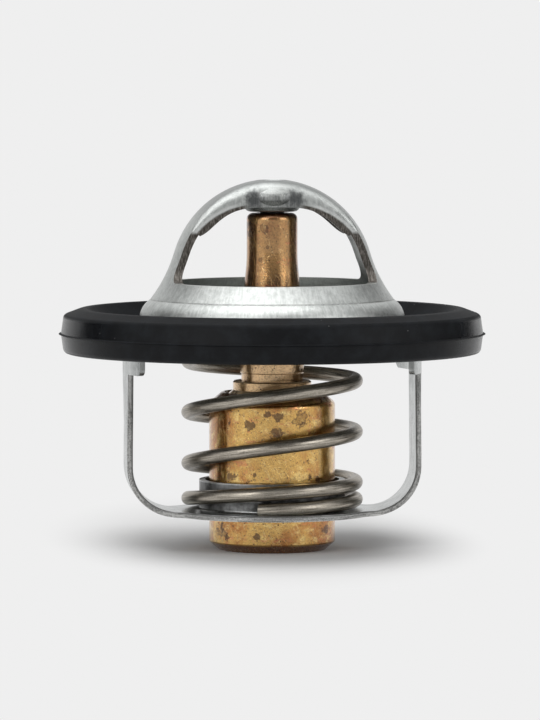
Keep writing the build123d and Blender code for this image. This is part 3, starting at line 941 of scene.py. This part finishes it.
@dataclass
class ReturnSpring:
    """The coil spring, one wire up to the valve disc, carried by the element without changing
    shape.
    """

    wire_r: float = 1.0
    mean_r: float = 11.95
    turns: float = 4.5
    start_angle: float = -103.9
    ground: float = 0.35
    closed_rise: float = 1.65
    foot_ramp: Span = (0.95, 1.4)
    head_ramp: Span = (0.32, 0.64)
    lean: float = 0.83
    lean_angle: float = -62.5
    foot_z: float = 5.8
    head_z: float = 30.5
    travel: float = 8.5
    steps_a_turn: int = 72
    sides: int = 32
    sharp_angle: float = 40.0

    def height(self, turn: float) -> float:
        """Height of the wire's middle.

        Args:
            turn: Turns from the foot.

        Returns:
            The height in millimetres.
        """
        low = self.foot_z + self.wire_r - self.ground
        high = self.head_z - self.wire_r + self.ground
        active = self.turns - sum(self.foot_ramp) / 2 - sum(self.head_ramp) / 2
        active_rise = (high - low - self.closed_rise * self.turns) / active
        left = self.turns - turn
        if turn < self.turns / 2:
            covered = self._eased(turn, self.foot_ramp)
        else:
            covered = active - self._eased(left, self.head_ramp)
        lean_now = cos(radians(self.start_angle + 360 * turn - self.lean_angle))
        tilt = self.lean * min(1, 2 * turn, 2 * left) * lean_now
        return low + self.closed_rise * turn + active_rise * covered + tilt

    @staticmethod
    def _eased(turns: float, ramp: Span) -> float:
        """Turns covered at full pitch by a pitch that grows smoothly over a ramp."""
        width = ramp[1] - ramp[0]
        share = min(max((turns - ramp[0]) / width, 0), 1)
        return width * (share**3 - share**4 / 2) + max(turns - ramp[1], 0)

    def build(self) -> bpy.types.Object:
        """Spins the wire's section up the coil and grinds its two ends flat.

        Returns:
            The spring.
        """
        mesh = bmesh.new()
        along = mesh.verts.layers.float.new("along")
        around = mesh.verts.layers.float.new("around")
        self._wind(mesh, self._section(mesh, around), along)
        self._close(mesh)
        for level, side in ((self.foot_z, -1), (self.head_z, 1)):
            everything = mesh.verts[:] + mesh.edges[:] + mesh.faces[:]
            bmesh.ops.bisect_plane(mesh, geom=everything, dist=MERGE_DISTANCE,
                                   plane_co=(0, 0, level * MM), plane_no=(0, 0, side),
                                   clear_outer=True)
            self._close(mesh)
        bmesh.ops.remove_doubles(mesh, verts=mesh.verts[:], dist=MERGE_DISTANCE)
        bmesh.ops.recalc_face_normals(mesh, faces=mesh.faces[:])
        piece = new_object("coil_spring", mesh)
        piece.data.shade_smooth()
        piece.data.set_sharp_from_angle(angle=radians(self.sharp_angle))
        return piece

    def _section(self, mesh: bmesh.types.BMesh, around: Any) -> list[bmesh.types.BMVert]:
        """Draws the wire's round section at the coil's foot.

        Args:
            mesh: The mesh.
            around: Layer for the way round the wire.

        Returns:
            Its points.
        """
        ring = bmesh.ops.create_circle(mesh, cap_ends=False, segments=self.sides,
                                       radius=self.wire_r * MM)["verts"]
        for index, vert in enumerate(ring):
            vert[around] = abs(2 * index / self.sides - 1) * pi
        bmesh.ops.rotate(mesh, verts=ring, cent=(0, 0, 0), matrix=Matrix.Rotation(pi / 2, 3, "X"))
        bmesh.ops.translate(mesh, verts=ring, vec=(self.mean_r * MM, 0, self.height(0) * MM))
        start = Matrix.Rotation(radians(self.start_angle), 3, "Z")
        bmesh.ops.rotate(mesh, verts=ring, cent=(0, 0, 0), matrix=start)
        return ring

    def _wind(self, mesh: bmesh.types.BMesh, ring: list[bmesh.types.BMVert], along: Any) -> None:
        """Winds the section into the coil.

        Args:
            mesh: The mesh.
            ring: The section's points.
            along: Layer for the turns from the foot.
        """
        geometry = ring + mesh.edges[:]
        steps = round(self.turns * self.steps_a_turn)
        for step in range(steps):
            now, after = (self.turns * (step + shift) / steps for shift in (0, 1))
            lift = (self.height(after) - self.height(now)) * MM
            geometry = bmesh.ops.spin(mesh, geom=geometry, cent=(0, 0, 0), axis=(0, 0, 1),
                                      angle=tau * self.turns / steps, steps=1,
                                      dvec=(0, 0, lift), use_duplicate=False)["geom_last"]
            for vert in (part for part in geometry if isinstance(part, bmesh.types.BMVert)):
                vert[along] = after

    @staticmethod
    def _close(mesh: bmesh.types.BMesh) -> None:
        """Fills the open ends of the wire."""
        rim = [edge for edge in mesh.edges if edge.is_boundary]
        if rim:
            bmesh.ops.holes_fill(mesh, edges=rim, sides=0)

    def place(self) -> None:
        """Builds the spring, dresses it and ties it to the valve's lift."""
        piece = self.build()
        piece.data.materials.append(SpringWire("drawn_spring_wire").material())
        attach(piece, "element")
        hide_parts("return_spring")
        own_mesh(piece)
        log.info("spring of %d faces", len(piece.data.polygons))


@dataclass
class Pressings:
    """The two plated frames and the rubber ring between them."""

    sheet: Finish = PlatedSheet("plated_sheet")
    strap: Finish = PlatedStrip("plated_strap")
    gasket: Finish = MouldedRubber("moulded_gasket")

    def place(self) -> None:
        """Dresses the pressings."""
        dress("upper_frame", self.sheet)
        dress("lower_frame", self.strap)
        dress("flange_gasket", self.gasket)


CASE_MARKS = (
    Mark(-7.5, 2.85, 0.7, ring=True),
    Mark(-2.85, 2.65, 0.5),
    Mark(7.2, 3.2, 0.6),
    Mark(-3.85, 18.5, 0.85),
    Mark(-1.55, 19.9, 0.5),
    Mark(0.1, 19.4, 0.65),
    Mark(3.35, 19.1, 1.15, ring=True),
    Mark(0.05, 17.2, 0.95),
    Mark(-6.35, 10.9, 0.7),
    Mark(5.95, 10.5, 0.45),
    Mark(-3.2, 11.2, 0.35),
)
GUIDE_MARKS = (
    Mark(-1.48, 45.9, 0.75, ring=True),
    Mark(-1.92, 41.5, 0.33, ring=True),
    Mark(-1.0, 43.2, 0.28, ring=True),
    Mark(-3.62, 46.3, 0.55),
    Mark(3.6, 40.0, 0.5),
)


@dataclass
class Element:
    """The wax element: its brass case, its bronze guide and the valve that the guide carries."""

    case: Finish = TarnishedBrass("case_brass", stain_level=0.63, marks=CASE_MARKS)
    # The guide's glow paints its glints in a darker bronze; its end tint paints shade at its top.
    guide: Finish = TarnishedBrass(
        "guide_bronze", gold=(0.47, 0.265, 0.105), orange=(0.34, 0.16, 0.065),
        glow=Tint((0.56, 0.33, 0.14), 0.6), foot_z=-1.0, neck_z=32.0, top_z=47.7,
        stain_level=0.62, roughness=0.17, streak_z=40.8, marks=GUIDE_MARKS)
    disc: Finish = PlatedSheet("disc_steel", shear_from_z=99.0)
    seal: Finish = MouldedRubber("moulded_seal", roughness=0.55)
    ring: Finish = PlainInner("ring_steel", (0.42, 0.42, 0.41), 1.0, 0.36)
    piston: Finish = PlainInner("ground_piston", (0.66, 0.66, 0.66), 1.0, 0.22)
    backup: Finish = PlainInner("white_polymer", (0.78, 0.78, 0.75))
    plunger: Finish = MouldedRubber("plunger_rubber")
    fluid: Finish = PlainInner("paste", (0.68, 0.62, 0.46), 0.0, 0.3)
    diaphragm: Finish = MouldedRubber("diaphragm_rubber")
    wax: Finish = PlainInner("wax", (0.55, 0.38, 0.22), 0.0, 0.45)

    def place(self) -> None:
        """Dresses the element's pieces."""
        dress("wax_case", self.case)
        dress("piston_guide", self.guide)
        dress("valve_disc", self.disc)
        dress("valve_seal", self.seal)
        dress("retaining_ring", self.ring)
        dress("piston", self.piston)
        dress("backup_disc", self.backup)
        dress("rubber_plunger", self.plunger)
        dress("transfer_fluid", self.fluid)
        dress("diaphragm", self.diaphragm)
        dress("wax_charge", self.wax)


@dataclass(frozen=True)
class Card:
    """A flat card round the object that only reflections see. Its sizes are in metres."""

    name: str
    azimuth: float
    elevation: float
    distance: float
    width: float
    height: float
    glow: float

    def place(self) -> None:
        """Sets the card up, facing the object."""
        mesh = bmesh.new()
        bmesh.ops.create_grid(mesh, x_segments=1, y_segments=1, size=0.5)
        bmesh.ops.scale(mesh, verts=mesh.verts[:], vec=(self.width, self.height, 1.0))
        side, up = radians(self.azimuth), radians(self.elevation)
        direction = Vector((sin(side) * cos(up), -cos(side) * cos(up), sin(up)))
        spot = direction * self.distance
        turn = spot.to_track_quat("Z", "Y").to_matrix().to_4x4()
        bmesh.ops.transform(mesh, verts=mesh.verts[:], matrix=Matrix.Translation(spot) @ turn)
        card = new_object(self.name, mesh)
        material, recipe = new_material(self.name)
        glow = recipe.node("Emission", out="Emission", Color=WHITE, Strength=self.glow)
        recipe.node("OutputMaterial", Surface=glow)
        card.data.materials.append(material)
        card.visible_camera = False
        card.visible_diffuse = False
        card.visible_shadow = False


@dataclass(frozen=True)
class Lamp:
    """A square soft lamp, in metres and watts."""

    name: str
    spot: Triple
    size: float
    power: float

    def place(self, aim: Vector) -> None:
        """Hangs the lamp up.

        Args:
            aim: The point that it shines at.
        """
        data = bpy.data.lights.new(self.name, "AREA")
        data.size = self.size
        data.energy = self.power
        lamp = bpy.data.objects.new(self.name, data)
        lamp.location = self.spot
        lamp.rotation_euler = (aim - Vector(self.spot)).to_track_quat("-Z", "Y").to_euler()
        lamp.visible_camera = False
        bpy.context.scene.collection.objects.link(lamp)


@dataclass
class Studio:
    """Floor, soft lamps, cards, background and the camera, at the photograph's viewing angle.

    The camera's sizes and the floor's fade are in millimetres.
    """

    background: float = 0.863
    fill: float = 0.40
    distance: float = 840.0
    azimuth: float = 4.8
    eye_z: float = 79.0
    aim_z: float = 27.0
    aim_x: float = -0.3
    pixels_a_mm: float = 7.03
    image_height: int = 720
    sensor_height: float = 24.0
    clip_start: float = 0.01
    floor_radius: float = 3.0
    floor_sides: int = 96
    floor_albedo: float = 0.80
    floor_fade: Span = (15.0, 33.0)
    shadow_centre_y: float = 18.0
    shadow_squeeze: float = 0.42
    cards: tuple[Card, ...] = (
        Card("dark_left", -112.0, 6.0, 0.50, 0.36, 0.60, 0.01),
        Card("dark_right", 112.0, 6.0, 0.50, 0.42, 0.60, 0.01),
        Card("dim_front", -4.8, 12.0, 1.80, 2.60, 1.80, 0.30),
    )
    lamps: tuple[Lamp, ...] = (
        Lamp("overhead", (-0.15, -0.10, 0.95), 0.9, 5.6),
        Lamp("front_left", (-0.75, -0.95, 0.55), 0.55, 3.3),
        Lamp("front_right", (0.85, -0.75, 0.45), 0.45, 1.8),
    )

    def place(self) -> None:
        """Builds the whole studio."""
        self._world()
        self._floor()
        for lamp in self.lamps:
            lamp.place(Vector((0, 0, self.aim_z * MM)))
        for card in self.cards:
            card.place()
        self._camera()

    def _seen(self, recipe: Recipe) -> Wire:
        """Mask of the rays that see the plain background."""
        seen = [recipe.node("LightPath", out=ray.value) for ray in Ray]
        return seen[0].larger(seen[1]).larger(seen[2])

    def _world(self) -> None:
        """Pale background for what is seen and reflected, a softer fill for the rest."""
        world = bpy.data.worlds.new("studio")
        world.use_nodes = True
        bpy.context.scene.world = world
        recipe = Recipe(world.node_tree)
        shown = recipe.node("Background", Color=(self.background,) * 3, Strength=1.0)
        fill = recipe.node("Background", Color=WHITE, Strength=self.fill)
        mixed = recipe.node("MixShader", Fac=self._seen(recipe), Shader=fill, Shader_001=shown)
        recipe.node("OutputWorld", Surface=mixed)

    def _floor(self) -> None:
        """A pale floor that keeps the shadow near the object and turns into the background."""
        mesh = bmesh.new()
        bmesh.ops.create_circle(mesh, cap_ends=True, segments=self.floor_sides,
                                radius=self.floor_radius)
        floor = new_object("floor", mesh)
        material, recipe = new_material("pale_floor")
        x, y, _ = recipe.place()
        away = length(x, (y - self.shadow_centre_y) * self.shadow_squeeze)
        lit = recipe.node("BsdfDiffuse", out="BSDF", Color=(self.floor_albedo,) * 3)
        plain = recipe.node("Emission", out="Emission", Color=(self.background,) * 3,
                            Strength=1.0)
        mixed = recipe.node("MixShader", Fac=away.rise(*self.floor_fade), Shader=lit,
                            Shader_001=plain)
        recipe.node("OutputMaterial", Surface=mixed)
        floor.data.materials.append(material)

    def _camera(self) -> None:
        """The camera, set by the photograph's scale at the object's axis."""
        data = bpy.data.cameras.new("view")
        data.sensor_fit = "VERTICAL"
        data.sensor_height = self.sensor_height
        data.lens = self.pixels_a_mm * self.distance * self.sensor_height / self.image_height
        data.clip_start = self.clip_start
        camera = bpy.data.objects.new("view", data)
        turn = radians(self.azimuth)
        eye = Vector((-self.distance * sin(turn), -self.distance * cos(turn), self.eye_z)) * MM
        aim = Vector((self.aim_x * cos(turn), self.aim_x * sin(turn), self.aim_z)) * MM
        camera.location = eye
        camera.rotation_euler = (aim - eye).to_track_quat("-Z", "Y").to_euler()
        bpy.context.scene.collection.objects.link(camera)
        bpy.context.scene.camera = camera
        bpy.context.scene.view_settings.view_transform = "Standard"


def main() -> None:
    """Builds the pieces in order."""
    logging.basicConfig(level=logging.INFO, format="%(name)s: %(message)s")
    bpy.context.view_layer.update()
    for assembly in (Studio(), Pressings(), Element(), ReturnSpring()):
        assembly.place()
        log.info("placed %s", type(assembly).__name__)


if __name__ == "__main__":
    main()
